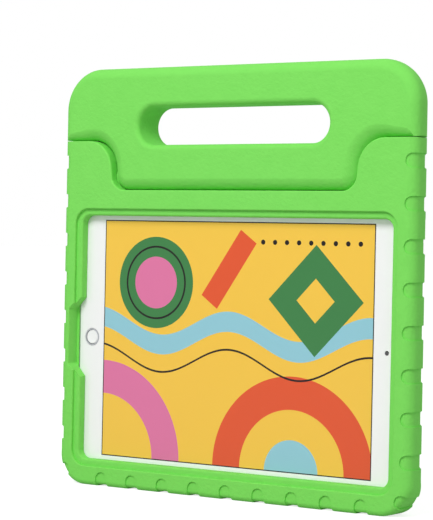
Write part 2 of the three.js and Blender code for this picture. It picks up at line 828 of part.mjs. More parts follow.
const displayPanel = () => innerSlab(
  0,
  zTablet,
  tabletWidth - 2 * displaySideBorder,
  tabletHeight - 2 * displayEndBorder,
  yDisplay + displayThickness,
  displayThickness,
);
const battery = (side) => innerSlab(
  side * batteryMiddle,
  zTablet,
  batteryWidth,
  tabletHeight - 2 * batteryEndSpace,
  yInnerBack,
  batteryThickness,
);
const logicBoard = () => innerSlab(
  boardX,
  zTablet,
  boardWidth,
  tabletHeight - 2 * boardEndSpace,
  yInnerBack,
  boardThickness,
);
const speaker = (side) => innerSlab(
  speakerX,
  zTablet + side * speakerSpread,
  speakerWidth,
  speakerHeight,
  yInnerBack,
  speakerThickness,
);

const yStemEnd = yGlass + homeButtonThickness + homeStemLength;

// Home button: a round cap flush with the glass and a stem that works the switch behind it.
function homeButton() {
  const cap = rodY(homeButtonRadius, yGlass, yGlass + homeButtonThickness, homeButtonX, zTablet);
  return cap.add(rodY(homeButtonRadius / 2, yGlass, yStemEnd, homeButtonX, zTablet));
}

// Thin metal ring round the home button, held in the glass.
function homeButtonRing() {
  const outer = rodY(homeRingRadius, yGlass, yGlassBack, homeButtonX, zTablet);
  const bore = homeButtonRadius + pieceGap;
  return outer.subtract(rodY(bore, yGlass - overshoot, yGlassBack + overshoot, homeButtonX, zTablet));
}

// Switch behind the home button, standing on the housing's floor.
function homeSwitch() {
  const front = yStemEnd + homeButtonTravel + pieceGap / 2;
  const depth = yInnerBack - front;
  return innerSlab(homeButtonX, zTablet, homeSwitchSize, homeSwitchSize, yInnerBack, depth);
}

// Front camera: a narrow lens barrel in the glass and a wider body behind it.
function frontCamera() {
  const lens = rodY(frontCameraLensRadius, yGlass, yDisplay + overshoot, frontCameraX, zTablet);
  return lens.add(rodY(frontCameraRadius, yDisplay, yDisplay + frontCameraDepth, frontCameraX, zTablet));
}

const yRearLens = yTabletBack - rearLensThickness;

// Rear camera behind its lens.
function rearCameraModule() {
  const back = yRearLens - pieceGap;
  return rearCameraRod(rearCameraRadius, back - rearCameraDepth, back);
}

// Charging socket: a flat metal tube, open towards the side.
function chargePortTube() {
  const outer = chargePortBox(chargePortShell, -xTabletEdge + socketRecess, xPortEnd);
  return outer.subtract(chargePortBox(0, -xTabletEdge - overshoot, xPortEnd - socketEndWall));
}

// Audio socket: a round tube, open towards the side.
function audioJack() {
  const inner = xTabletEdge - jackDepth;
  const outer = rodX(jack.radius, inner, xTabletEdge - socketRecess, jack.y, jack.z);
  const bore = rodX(jackBoreRadius, inner + socketEndWall, xTabletEdge + overshoot, jack.y, jack.z);
  return outer.subtract(bore);
}

const foam = { color: new THREE.Color(0x84de67), roughness: 0.75, metalness: 0 };
const nylon = { color: new THREE.Color(0x2c2d30), roughness: 0.55, metalness: 0 };
const steel = { color: new THREE.Color(0xb9bcc0), roughness: 0.3, metalness: 1 };
const anodised = { color: new THREE.Color(0xd6d7da), roughness: 0.42, metalness: 1 };
const whiteGlass = { color: new THREE.Color(0xf4f4f6), roughness: 0.08, metalness: 0 };
const panel = { color: new THREE.Color(0xf6c64c), roughness: 0.2, metalness: 0 };
const cellWrap = { color: new THREE.Color(0x26272b), roughness: 0.6, metalness: 0 };
const laminate = { color: new THREE.Color(0x1d4a33), roughness: 0.5, metalness: 0 };
const darkGlass = { color: new THREE.Color(0x0b0c10), roughness: 0.06, metalness: 0 };

const group = new THREE.Group();

function addPiece(name, finish, solid) {
  const mesh = new THREE.Mesh(geometryOf(solid), new THREE.MeshStandardMaterial(finish));
  mesh.name = name;
  group.add(mesh);
}

addPiece('case_body', foam, caseBody());
addPiece('handle', foam, handle());
for (const [side, name] of [[1, 'right'], [-1, 'left']]) {
  const pin = rodX(pinRadius, ...span(side * pinStart, side * pinEnd), hinge.y, hinge.z);
  addPiece(`hinge_pin_${name}`, steel, pin);
  addPiece(`shoulder_bush_${name}`, nylon, bush(side * cheek, -side));
  addPiece(`tongue_bush_${name}`, nylon, bush(side * knuckleHalfLength, side));
  addPiece(`battery_cell_${name}`, cellWrap, battery(side));
}

addPiece('tablet_housing', anodised, tabletHousing());
addPiece('cover_glass', whiteGlass, coverGlass());
addPiece('display_panel', panel, displayPanel());
addPiece('logic_board', laminate, logicBoard());
addPiece('speaker_upper', nylon, speaker(1));
addPiece('speaker_lower', nylon, speaker(-1));
addPiece('front_camera', darkGlass, frontCamera());
addPiece('rear_camera', nylon, rearCameraModule());
addPiece('rear_camera_glass', darkGlass, rearCameraRod(rearCameraRadius, yRearLens, yTabletBack));
addPiece('charge_port', steel, chargePortTube());
addPiece('audio_jack', nylon, audioJack());
addPiece('home_switch', nylon, homeSwitch());
addPiece('home_button', whiteGlass, homeButton());
addPiece('home_button_ring', steel, homeButtonRing());
addPiece('power_button', anodised, powerButton());
addPiece('volume_button_up', anodised, volumeUpButton());
addPiece('volume_button_down', anodised, volumeDownButton());

export default group;
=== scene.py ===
"""Looks of a foam tablet case for children, with its fold-back handle and the tablet that it holds.

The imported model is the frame. The foam body and the handle are built again around it with finer
rounded edges, and the tablet's pieces keep their solids and get their finishes. Lengths are in
millimetres until a mesh is written, and every depth runs along Y, from the screen to the back.
"""

import logging
import math
from collections.abc import Iterable, Sequence
from dataclasses import dataclass, field
from enum import Enum
from functools import partial

import bpy
import numpy as np
from mathutils import Matrix, Vector


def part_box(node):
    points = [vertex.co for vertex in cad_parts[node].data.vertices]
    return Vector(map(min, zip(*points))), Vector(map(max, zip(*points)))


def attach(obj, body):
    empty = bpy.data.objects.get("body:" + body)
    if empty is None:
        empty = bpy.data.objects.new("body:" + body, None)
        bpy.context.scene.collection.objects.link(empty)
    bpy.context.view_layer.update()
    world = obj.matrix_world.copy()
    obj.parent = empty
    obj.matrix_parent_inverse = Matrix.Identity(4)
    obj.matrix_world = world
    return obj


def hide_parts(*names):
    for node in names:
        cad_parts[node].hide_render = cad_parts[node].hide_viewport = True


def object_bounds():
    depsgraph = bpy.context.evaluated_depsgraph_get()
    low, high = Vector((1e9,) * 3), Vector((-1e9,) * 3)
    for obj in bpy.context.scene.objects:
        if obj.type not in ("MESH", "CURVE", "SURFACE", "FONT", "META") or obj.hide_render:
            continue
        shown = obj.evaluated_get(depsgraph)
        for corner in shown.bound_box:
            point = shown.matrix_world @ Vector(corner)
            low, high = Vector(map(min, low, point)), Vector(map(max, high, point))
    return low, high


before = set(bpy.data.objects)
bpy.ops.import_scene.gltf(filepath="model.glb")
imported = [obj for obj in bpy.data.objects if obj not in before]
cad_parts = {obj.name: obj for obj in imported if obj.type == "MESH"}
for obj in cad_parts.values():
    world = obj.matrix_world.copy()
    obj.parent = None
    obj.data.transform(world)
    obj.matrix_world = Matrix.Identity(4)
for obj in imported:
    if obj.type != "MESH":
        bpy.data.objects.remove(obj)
CAD_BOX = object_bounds()

MM = 0.001
CORNER_STEPS = 24
EDGE_STEPS = 10
ROUND_STEPS = 64
COAT_ROUGHNESS = 0.03
SAME_POINT = 1e-6
# How far a cut goes past the face it opens in, and how far a half space goes past the case.
OVERSHOOT = 1.0
BEYOND = 12.0

log = logging.getLogger("tablet_case")
Array = np.ndarray
Pairs = Sequence[tuple[float, float]]
Object = bpy.types.Object
Tree = bpy.types.NodeTree
Node = bpy.types.Node
Socket = bpy.types.NodeSocket


def node_box(node: str) -> tuple[Array, Array]:
    """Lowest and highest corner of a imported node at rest, in millimetres."""
    low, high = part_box(node)
    return np.array(low) / MM, np.array(high) / MM


@dataclass(frozen=True)
class Corner:
    """One corner of an outline in X and Z, rounded to a radius."""

    x: float
    z: float
    radius: float = 0.0


def linked(name: str, data: bpy.types.ID) -> Object:
    """Makes an object of a mesh, a lamp or a camera and links it to the scene."""
    made = bpy.data.objects.new(name, data)
    bpy.context.scene.collection.objects.link(made)
    return made


def unit(vectors: Array) -> Array:
    """Returns the vectors at length 1."""
    return vectors / np.linalg.norm(vectors, axis=-1, keepdims=True)


def rounded_path(corners: Sequence[Corner], closed: bool = True) -> Array:
    """Path through corners, with an arc in place of each corner that has a radius.

    The arc's middle lies on the bisector, at radius / sin(half the corner's angle) from it.

    Args:
        corners: the corners, anticlockwise from the front if closed.
        closed: whether the last is joined to the first.

    Returns:
        The points' x and z.
    """
    count = len(corners)
    stretches = []
    for i, corner in enumerate(corners):
        at = np.array([corner.x, corner.z])
        if corner.radius == 0 or (not closed and i in (0, count - 1)):
            stretches.append(at[None])
            continue
        last, following = corners[i - 1], corners[(i + 1) % count]
        back = unit(np.array([last.x, last.z]) - at)
        ahead = unit(np.array([following.x, following.z]) - at)
        half = math.acos(back @ ahead) / 2
        middle = at + unit(back + ahead) * corner.radius / math.sin(half)
        arm = at + back * corner.radius / math.tan(half) - middle
        side = -(back[0] * ahead[1] - back[1] * ahead[0])
        angle = math.copysign(math.pi - 2 * half, side) * np.linspace(0, 1, CORNER_STEPS + 1)
        cos, sin = np.cos(angle), np.sin(angle)
        turned_arm = np.stack([cos * arm[0] - sin * arm[1], sin * arm[0] + cos * arm[1]], axis=1)
        stretches.append(middle + turned_arm)
    path = np.concatenate(stretches)
    gaps = np.linalg.norm(path - np.roll(path, 1, axis=0), axis=1)
    if not closed:
        gaps[0] = 1.0
    return path[gaps > SAME_POINT]


def rounded_rectangle(half_width: float, low: float, high: float, low_radius: float, high_radius: float) -> Array:
    """Anticlockwise rectangle about X = 0 with rounded corners.

    Args:
        half_width: from the middle to either side.
        low: the lower edge's height.
        high: the upper edge's height.
        low_radius: the lower corners' radius.
        high_radius: the upper corners' radius.

    Returns:
        The outline's points.
    """
    lower = [Corner(side * half_width, low, low_radius) for side in (-1, 1)]
    upper = [Corner(side * half_width, high, high_radius) for side in (1, -1)]
    return rounded_path(lower + upper)


def outward_normals(outline: Array) -> Array:
    """Outward unit normals at an anticlockwise outline's points, square to the mean of both sides."""
    before = unit(outline - np.roll(outline, 1, axis=0))
    after = unit(np.roll(outline, -1, axis=0) - outline)
    along = unit(before + after)
    return np.stack([along[:, 1], -along[:, 0]], axis=1)


def carried(outline: Array, depth: Array, shift: Array) -> Array:
    """Carries a profile along an outline: ring k lies at depth k, moved outwards by shift k.

    Args:
        outline: the outline's points.
        depth: one depth, or one for each point, for each ring.
        shift: how far outwards, likewise.

    Returns:
        Rings x points x 3.
    """
    normals = outward_normals(outline)
    shape = (len(depth), len(outline))
    moved = outline[None] + np.broadcast_to(shift, shape)[..., None] * normals[None]
    return np.stack([moved[..., 0], np.broadcast_to(depth, shape), moved[..., 1]], axis=-1)


@dataclass(frozen=True)
class Edge:
    """A face's depth and the rounding along its edge, one radius or one for each point.

    At fullness 2 the rounding is a quarter circle. Nearer to 1 it is a bevel with soft ends.
    Deep scales how far it goes in from the face.
    """

    depth: float
    radius: float | Array = 0.0
    fullness: float = 2.0
    deep: float = 1.0

    def profile(self, inwards: int, reach: float) -> tuple[Array, Array]:
        """Depth and shift along the rounding, from the face inwards.

        With e = 2 / fullness, shift is r(1 - sin(t)^e) and depth is face + deep r(1 - cos(t)^e), for
        t from 0 to a right angle.

        Args:
            inwards: 1 if the solid lies behind the face, -1 if in front of it.
            reach: how far the end is carried straight on past the face.

        Returns:
            Rows of depths and rows of shifts.
        """
        radius = np.atleast_1d(np.asarray(self.radius, float))[None]
        turn = np.linspace(0, math.pi / 2, EDGE_STEPS + 1)[:, None] if radius.any() else np.zeros((1, 1))
        power = 2 / self.fullness
        depth = self.depth + inwards * self.deep * radius * (1 - np.cos(turn).clip(0) ** power)
        shift = radius * (1 - np.sin(turn) ** power)
        if reach:
            depth = np.concatenate([np.full_like(depth[:1], self.depth - inwards * reach), depth])
            shift = np.concatenate([shift[:1], shift])
        return depth, shift


def eased_block(
    outline: Array, front: Edge, back: Edge, *, grow: float = 0.0, reach: float = 0.0, flare: int = -1
) -> Array:
    """Block over an outline, with rounded edges along both faces.

    Args:
        outline: the outline's points.
        front: the front face.
        back: the back face.
        grow: how far the outline moves outwards.
        reach: how far both ends are carried straight on.
        flare: 1 widens towards the faces, as a hole's edge does, and -1 narrows.

    Returns:
        The rings, from front to back.
    """
    spread = np.zeros(len(outline))
    ends = zip(front.profile(1, reach), back.profile(-1, reach))
    depth, shift = (np.concatenate([near + spread, far[::-1] + spread]) for near, far in ends)
    return carried(outline, depth, grow + flare * shift)


def eased_cut(outline: Array, face: Edge, floor: float, flare: float = 0.0) -> Array:
    """Rings of a cut through a front face with an eased edge.

    Args:
        outline: the outline's points.
        face: the face.
        floor: the depth that the cut ends at.
        flare: how much narrower it is there.

    Returns:
        The rings.
    """
    depth, shift = face.profile(1, OVERSHOOT)
    return carried(outline, np.concatenate([depth, [[floor]]]), np.concatenate([shift, [[-flare]]]))


def turned(profile: Pairs) -> tuple[Array, Array, Array]:
    """Rings of a turned solid: r cos t, r sin t and the place along, with t once round.

    Args:
        profile: each ring's radius and place along.

    Returns:
        The three, as rings x points each.
    """
    radius, along = np.array(profile, float).T[:, :, None]
    turn = np.linspace(0, 2 * math.pi, ROUND_STEPS, endpoint=False)[None]
    return radius * np.cos(turn), radius * np.sin(turn), along + 0 * turn


def turned_x(profile: Pairs, y: float, z: float) -> Array:
    """Rings of a solid turned about a line along X: x, y + r cos t and z - r sin t."""
    cos, sin, x = turned(profile)
    return np.stack([x, y + cos, z - sin], axis=-1)


def turned_y(profile: Pairs, x: float, z: float) -> Array:
    """Rings of a solid turned about a line along Y: x + r cos t, y and z + r sin t."""
    cos, sin, y = turned(profile)
    return np.stack([x + cos, y, z + sin], axis=-1)


def prism_x(outline: Pairs | Array, low: float, high: float) -> Array:
    """Two rings of a straight prism along X over an outline in Y and Z.

    Args:
        outline: the corners' y and z, in either direction.
        low: the lower x.
        high: the higher x.

    Returns:
        The rings.
    """
    points = np.array(outline, float)
    y, z = points.T
    if np.sum(y * np.roll(z, -1) - np.roll(y, -1) * z) > 0:
        points = points[::-1]
    ends = np.array([low, high])[:, None]
    return np.stack([ends + 0 * points[:, 0], points[:, 0] + 0 * ends, points[:, 1] + 0 * ends], axis=-1)


def box(low: Sequence[float], high: Sequence[float]) -> Array:
    """Rings of a box between two opposite corners."""
    corners = [(low[1], low[2]), (high[1], low[2]), (high[1], high[2]), (low[1], high[2])]
    return prism_x(corners, low[0], high[0])


def mirrored(rings: Array) -> Array:
    """The same rings on the other side of X = 0, in the order that keeps their faces outwards."""
    return (rings * np.array([-1.0, 1.0, 1.0]))[::-1]


class Joining(Enum):
    """How one solid acts on another."""

    ADD = "UNION"
    CUT = "DIFFERENCE"
    KEEP = "INTERSECT"


@dataclass
class Solid:
    """A closed solid made of lofted islands, which other solids are then added to or cut from."""

    name: str
    islands: Sequence[Array]
    steps: list[tuple[Joining, "Solid"]] = field(default_factory=list)

    def then(self, joining: Joining, *others: "Solid") -> "Solid":
        """Notes the solids that act on this one, in order, and returns it."""
        self.steps.extend((joining, other) for other in others)
        return self

    def less(self, *others: "Solid") -> "Solid":
        """Notes the solids that are cut from this one and returns it."""
        return self.then(Joining.CUT, *others)

    def build(self) -> Object:
        """Makes the object: quads between neighbouring rings and one flat face on each end.

        Returns:
            The object, with every step worked into its mesh.
        """
        corners, faces, start = [], [], 0
        for rings in self.islands:
            rows, count = rings.shape[:2]
            here = start + np.arange(rows * count).reshape(rows, count)
            following = np.roll(here, -1, axis=1)
            quads = np.stack([here[:-1], here[1:], following[1:], following[:-1]], axis=-1)
            faces += [*quads.reshape(-1, 4).tolist(), here[0].tolist(), here[-1][::-1].tolist()]
            corners.append(rings.reshape(-1, 3) * MM)
            start += rows * count
        mesh = bpy.data.meshes.new(self.name)
        mesh.from_pydata(np.concatenate(corners), [], faces)
        piece = linked(self.name, mesh)
        self._work_in(piece)
        return piece

    def _work_in(self, piece: Object) -> None:
        """Applies the noted steps to the object's mesh and removes the solids that they used."""
        if not self.steps:
            return
        used = []
        for joining, other in self.steps:
            tool = other.build()
            step = piece.modifiers.new(other.name, "BOOLEAN")
            step.operation, step.object, step.solver = joining.value, tool, "MANIFOLD"
            used.append(tool)
        rough = piece.data
        shaped = piece.evaluated_get(bpy.context.evaluated_depsgraph_get())
        finished = bpy.data.meshes.new_from_object(shaped)
        piece.modifiers.clear()
        piece.data = finished
        bpy.data.meshes.remove(rough)
        for tool in used:
            mesh = tool.data
            bpy.data.objects.remove(tool)
            bpy.data.meshes.remove(mesh)


def smoothed(piece: Object, crease_degrees: float = 32.0) -> Object:
    """Shades a piece smooth, but keeps flat faces flat and creases sharp.

    Args:
        piece: the piece.
        crease_degrees: the turn between two faces past which their edge is a crease.

    Returns:
        The same piece.
    """
    piece.data.shade_smooth()
    piece.data.set_sharp_from_angle(angle=math.radians(crease_degrees))
    weighted = piece.modifiers.new("face_weighted_normals", "WEIGHTED_NORMAL")
    weighted.keep_sharp = True
    weighted.mode = "FACE_AREA"
    return piece


def linear(hex_colour: str) -> tuple[float, float, float, float]:
    """Turns an sRGB hex colour such as 84de67 to linear RGBA."""
    srgb = np.array([int(hex_colour[i : i + 2], 16) for i in (0, 2, 4)]) / 255
    low, high = srgb / 12.92, ((srgb + 0.055) / 1.055) ** 2.4
    return (*np.where(srgb <= 0.04045, low, high).tolist(), 1.0)


def add(tree: Tree, kind: str, inputs: dict[str | int, object] | None = None, **settings: object) -> Node:
    """Adds a shader node.

    Args:
        tree: the node tree.
        kind: the node's type.
        inputs: values or sockets, by the input's name or number.
        settings: the node's own settings.

    Returns:
        The node.
    """
    node = tree.nodes.new(kind)
    for name, value in settings.items():
        setattr(node, name, value)
    for key, value in (inputs or {}).items():
        if isinstance(value, Socket):
            tree.links.new(value, node.inputs[key])
        else:
            node.inputs[key].default_value = value
    return node


@dataclass(frozen=True)
class Finish:
    """A plain finish: what the real material is and how its surface catches the light."""

    name: str
    colour: str
    roughness: float
    metallic: float = 0.0
    ior: float = 1.5
    coat: float = 0.0

    def material(self) -> bpy.types.Material:
        """Returns the material, made on its first use."""
        made = bpy.data.materials.get(self.name)
        if made:
            return made
        made = bpy.data.materials.new(self.name)
        made.use_nodes = True
        shader = made.node_tree.nodes["Principled BSDF"]
        values = {"Base Color": linear(self.colour), "Roughness": self.roughness, "Metallic": self.metallic}
        values |= {"IOR": self.ior, "Coat Weight": self.coat, "Coat Roughness": COAT_ROUGHNESS}
        for name, value in values.items():
            shader.inputs[name].default_value = value
        self.dress(made.node_tree, shader)
        return made

    def dress(self, tree: Tree, shader: Node) -> None:
        """Adds what a plain finish doesn't have."""

    def on(self, piece: Object) -> Object:
        """Gives a piece this finish and returns it."""
        piece.data.materials.clear()
        piece.data.materials.append(self.material())
        return piece


@dataclass(frozen=True)
class FoamFinish(Finish):
    """Moulded closed-cell EVA foam: a matt skin whose fine cells break up the light."""

    deep_colour: str = "79db5a"
    grain_mm: float = 2.2
    mottle_mm: float = 9.0
    grain_height_mm: float = 0.6

    def dress(self, tree: Tree, shader: Node) -> None:
        """Adds a faint cloudiness to the colour and a fine grain to the surface.

        Args:
            tree: the material's node tree.
            shader: its surface shader.
        """
        place = add(tree, "ShaderNodeTexCoord").outputs["Object"]
        cloud = add(tree, "ShaderNodeTexNoise", {"Vector": place, "Scale": 1 / (self.mottle_mm * MM), "Detail": 3.0})
        colours = {"Factor": cloud.outputs["Fac"], 6: linear(self.deep_colour), 7: linear(self.colour)}
        colour = add(tree, "ShaderNodeMix", colours, data_type="RGBA")
        tree.links.new(colour.outputs[2], shader.inputs["Base Color"])
        grain = add(tree, "ShaderNodeTexNoise", {"Vector": place, "Scale": 1 / (self.grain_mm * MM), "Detail": 2.0})
        height = {"Height": grain.outputs["Fac"], "Strength": 0.5, "Distance": self.grain_height_mm * MM}
        relief = add(tree, "ShaderNodeBump", height)
        tree.links.new(relief.outputs["Normal"], shader.inputs["Normal"])


class Shape(Enum):
    """The figures that the picture on the display is made of."""

    DISC = "all within a distance of the middle"
    RING = "a band round a circle"
    DIAMOND = "a square on its corner"
    WAVE = "a level band that swings up and down"
    STRIPE = "a straight band at a slant"


@dataclass(frozen=True)
class Motif:
    """One figure of the picture, with its middle measured from the display's middle."""

    shape: Shape
    colour: str
    x: float
    z: float
    size: float
    width: float = 0.0
    slant_degrees: float = 0.0


@dataclass(frozen=True)
class PictureFinish(Finish):
    """Lit display under glass: flat fields of strong colour with a mirror-smooth surface."""

    middle_z: float = 0.0
    half_width: float = 0.0
    half_height: float = 0.0
    border_colour: str = "1c1c1e"
    motifs: tuple[Motif, ...] = ()

    def dress(self, tree: Tree, shader: Node) -> None:
        """Paints the motifs one over another on the ground colour, then the dark border.

        Args:
            tree: the material's node tree.
            shader: its surface shader.
        """
        place = add(tree, "ShaderNodeTexCoord").outputs["Object"]
        parts = add(tree, "ShaderNodeSeparateXYZ", {0: place}).outputs

        def maths(operation: str, first: object, second: object = 0.0) -> Socket:
            """Returns the output of one step of arithmetic."""
            return add(tree, "ShaderNodeMath", {0: first, 1: second}, operation=operation).outputs[0]

        plus, minus, times, over = (partial(maths, kind) for kind in ("ADD", "SUBTRACT", "MULTIPLY", "DIVIDE"))
        size, below = partial(maths, "ABSOLUTE"), partial(maths, "LESS_THAN")
        across, up = over(parts["X"], MM), minus(over(parts["Z"], MM), self.middle_z)

        def inside(motif: Motif) -> Socket:
            """Returns 1 inside the motif and 0 outside it."""
            x, z = minus(across, motif.x), minus(up, motif.z)
            if motif.shape in (Shape.DISC, Shape.RING):
                distance = maths("SQRT", plus(times(x, x), times(z, z)))
                if motif.shape is Shape.DISC:
                    return below(distance, motif.size)
                distance = size(minus(distance, motif.size))
            elif motif.shape is Shape.DIAMOND:
                return below(plus(size(x), size(z)), motif.size)
            elif motif.shape is Shape.WAVE:
                distance = size(minus(z, times(maths("SINE", over(x, motif.size)), motif.size / 2)))
            else:
                slant = math.radians(motif.slant_degrees)
                cos, sin = math.cos(slant), math.sin(slant)
                square, along = minus(times(z, cos), times(x, sin)), plus(times(x, cos), times(z, sin))
                return times(below(size(along), motif.size), below(size(square), motif.width / 2))
            return below(distance, motif.width / 2)

        def painted(under: object, mask: Socket, colour: str) -> Socket:
            """Returns the colours with one more laid over them where the mask is 1."""
            layers = {"Factor": mask, 6: under, 7: linear(colour)}
            return add(tree, "ShaderNodeMix", layers, data_type="RGBA").outputs[2]

        colours: object = linear(self.colour)
        for motif in self.motifs:
            colours = painted(colours, inside(motif), motif.colour)
        past_side = maths("GREATER_THAN", size(across), self.half_width)
        past_end = maths("GREATER_THAN", size(up), self.half_height)
        colours = painted(colours, maths("MAXIMUM", past_side, past_end), self.border_colour)
        tree.links.new(colours, shader.inputs["Base Color"])


# Moulded foam: matt and strongly coloured, with a grain that shows as a faint mottling.
FOAM = FoamFinish("eva_foam_moulded", "80e060", roughness=0.8, ior=1.4)
# Clear glass with white ink behind it: a bright face under a sharp, faint reflection.
WHITE_GLASS = Finish("glass_white_inked", "fafafb", roughness=0.12, ior=1.5, coat=0.5)
# Black-coated lens: nearly black, with one small highlight.
LENS_GLASS = Finish("lens_glass_coated", "14161c", roughness=0.05, ior=1.6, coat=1.0)
# Aluminium blasted with fine beads and anodised: a soft, even sheen.
ANODISED = Finish("aluminium_bead_blasted", "d3d4d8", roughness=0.38, metallic=1.0)
# Turned steel: bright, with a slight haze.
STEEL = Finish("steel_turned", "b9bcc0", roughness=0.28, metallic=1.0)
# Dark nylon from a mould: dull black.
NYLON = Finish("nylon_moulded", "2a2b2e", roughness=0.5, ior=1.53)
# Foil pouch round a cell: dark grey with a dull shine.
CELL_WRAP = Finish("foil_pouch", "26272b", roughness=0.42, metallic=0.4)
# Glass-fibre board under green solder mask: deep green and slightly glossy.
LAMINATE = Finish("glass_fibre_board", "1d4a33", roughness=0.35, ior=1.55)
# Back of a lit panel: plain pale plastic, hidden by the glass.
PANEL = Finish("display_backing", "c9cbd0", roughness=0.5)


def hand_over(piece: Object, body: str, slot: str, *nodes: str) -> None:
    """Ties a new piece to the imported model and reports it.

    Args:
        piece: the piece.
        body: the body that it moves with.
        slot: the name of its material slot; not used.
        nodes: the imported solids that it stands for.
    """
    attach(piece, body)
    if nodes:
        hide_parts(*nodes)
    log.info("%s: %d faces", piece.name, len(piece.data.polygons))


@dataclass
class FoamCase:
    """Foam body and handle, which together are one rounded slab parted along a stepped line.

    The outer sizes, the tablet's place and the hinge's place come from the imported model. The
    rest are the case's own sizes, as in the part's source or measured closer in the photograph.
    """

    bottom_radius: float = 21.5
    top_radius: float = 27.5
    front_edge: float = 7.0
    back_edge: float = 12.5
    top_back_edge: float = 15.0
    bottom_front_edge: float = 3.5
    bottom_back_edge: float = 6.0
    shoulder_width: float = 42.9
    cheek_slant: float = 3.7
    tongue_radius: float = 10.0
    wing_radius: float = 19.5
    shoulder_rise: float = 32.6
    parting_gap: float = 0.5
    handle_parting_edge: float = 9.5
    handle_parting_fullness: float = 1.5
    handle_parting_deep: float = 0.8
    body_parting_edge: float = 1.2
    back_parting_edge: float = 2.0
    slight_edge: float = 0.3
    parting_edge_shares: tuple[float, ...] = (0.74, 1.0, 0.95, 0.68, 0.5, 0.12)
    taper_points: int = 12
    wing_tip_radius: float = 1.5
    wing_tip_share: float = 3.0
    wing_fade_share: float = 1.2
    slot_rise: float = 29.1
    slot_height: float = 25.0
    slot_end_width: float = 62.4
    slot_edge: float = 3.6
    slot_back_edge: float = 1.6
    knuckle_radius: float = 9.0
    knuckle_drop: float = 1.5
    knuckle_gap: float = 0.5
    knuckle_overhang: float = 2.0
    rest_slope_degrees: float = 20.0
    wing_slope_start: float = 3.0
    pin_room_radius: float = 2.8
    pin_room_end: float = 0.3
    seat_radius: float = 4.7
    seat_depth: float = 14.3
    flange_seat_radius: float = 6.9
    flange_seat_depth: float = 1.7
    notch_width: float = 9.1
    notch_depth: float = 1.0
    side_notch_reach: float = 7.1
    side_notch_pitch: float = 26.0
    side_notch_drop: float = 14.5
    bottom_notch_reach: float = 9.4
    bottom_notch_pitch: float = 25.1
    bottom_notch_shift: float = 1.9
    corner_notch_reach: float = 6.1
    corner_notch_dip_degrees: float = 38.0
    clearance: float = 0.3
    tablet_corner: float = 9.0
    tablet_back_edge: float = 3.0
    lip_thickness: float = 5.8
    lip_overlap: float = 5.6
    lip_width: float = 4.4
    window_radius: float = 6.0
    lip_edge: float = 1.5
    rim_edge: float = 0.8
    thumb_half_height: float = 18.3
    thumb_rim_width: float = 7.6
    thumb_past_lip: float = 2.0
    thumb_edge: float = 0.9
    thumb_corner: float = 1.5
    thumb_flare: float = 0.8
    charge_hole_height: float = 17.0
    charge_hole_depth: float = 6.6
    camera_hole_radius: float = 8.0
    camera_hole_flare: float = 2.5
    relief_height: float = 14.4
    relief_depth: float = 1.2
    relief_start: float = 15.5
    relief_inset: float = 12.55
    hollow_margin: float = 1.0
    hollow_depth: float = 0.8

    def __post_init__(self) -> None:
        """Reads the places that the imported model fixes, in millimetres."""
        low, high = (np.array(corner) / MM for corner in CAD_BOX)
        tablet_low, tablet_high = node_box("tablet_housing")
        glass_low, _ = node_box("cover_glass")
        pin_low, pin_high = node_box("hinge_pin_right")
        self.half_width, self.front, self.back, self.top = high[0], low[1], high[1], high[2]
        self.tablet_half_width = tablet_high[0]
        self.tablet_low, self.tablet_top = tablet_low[2], tablet_high[2]
        self.tablet_middle = (self.tablet_low + self.tablet_top) / 2
        self.glass, self.tablet_back = glass_low[1], tablet_high[1]
        self.lip = self.glass - self.clearance - self.lip_thickness
        self.pin_ends = (pin_low[0], pin_high[0])
        self.hinge_y, self.hinge_z = (pin_low[1] + pin_high[1]) / 2, (pin_low[2] + pin_high[2]) / 2
        self.parting = self.hinge_z - self.knuckle_radius + self.knuckle_drop
        self.shoulder = self.parting + self.shoulder_rise
        self.tongue_half = self.half_width - self.shoulder_width
        self.wing = self.tongue_half + self.cheek_slant
        self.rest_slope_angle = math.radians(self.rest_slope_degrees)
        self.knuckle_half = self.tongue_half + self.knuckle_overhang
        self.cheek = self.knuckle_half + self.knuckle_gap

    def slab(self, name: str, inset: float = 0.0) -> Solid:
        """Whole rounded slab that the body and the handle are cut from.

        Args:
            name: the solid's name.
            inset: how far every face is moved in.

        Returns:
            The slab.
        """
        outline = rounded_rectangle(self.half_width, 0, self.top, self.bottom_radius, self.top_radius)
        heights = [0, self.bottom_radius, self.top]
        front_radii = [self.bottom_front_edge, self.front_edge, self.front_edge]
        back_radii = [self.bottom_back_edge, self.back_edge, self.top_back_edge]
        front_radius = np.interp(outline[:, 1], heights, front_radii)
        back_radius = np.interp(outline[:, 1], heights, back_radii)
        front = Edge(self.front + inset, front_radius - inset)
        back = Edge(self.back - inset, back_radius - inset)
        return Solid(name, [eased_block(outline, front, back, grow=-inset)])

    def parting_line(self, above: bool) -> Array:
        """Line between handle and body from left to right: wings, slanted cheeks and tongue.

        Args:
            above: True ends it upwards round the wings' tips, False downwards round the shoulders'.

        Returns:
            The points.
        """
        tip = self.wing_tip_radius * (1 if above else -1)
        gap = 0 if above else -self.parting_gap
        taper_end = self.half_width - self.wing_tip_share * self.wing_tip_radius
        taper = np.linspace(self.wing + self.wing_radius, taper_end, self.taper_points)
        half = [
            Corner(self.tongue_half, self.parting, self.tongue_radius),
            Corner(self.wing, self.shoulder, self.wing_radius),
            *(Corner(x, self.shoulder) for x in taper),
            Corner(self.half_width - gap, self.shoulder, abs(tip)),
            Corner(self.half_width - gap, self.shoulder + 2 * tip),
            Corner(self.half_width + BEYOND, self.shoulder + 2 * tip),
        ]
        other = [Corner(-corner.x, corner.z, corner.radius) for corner in reversed(half)]
        return rounded_path([*other, *half], closed=False)

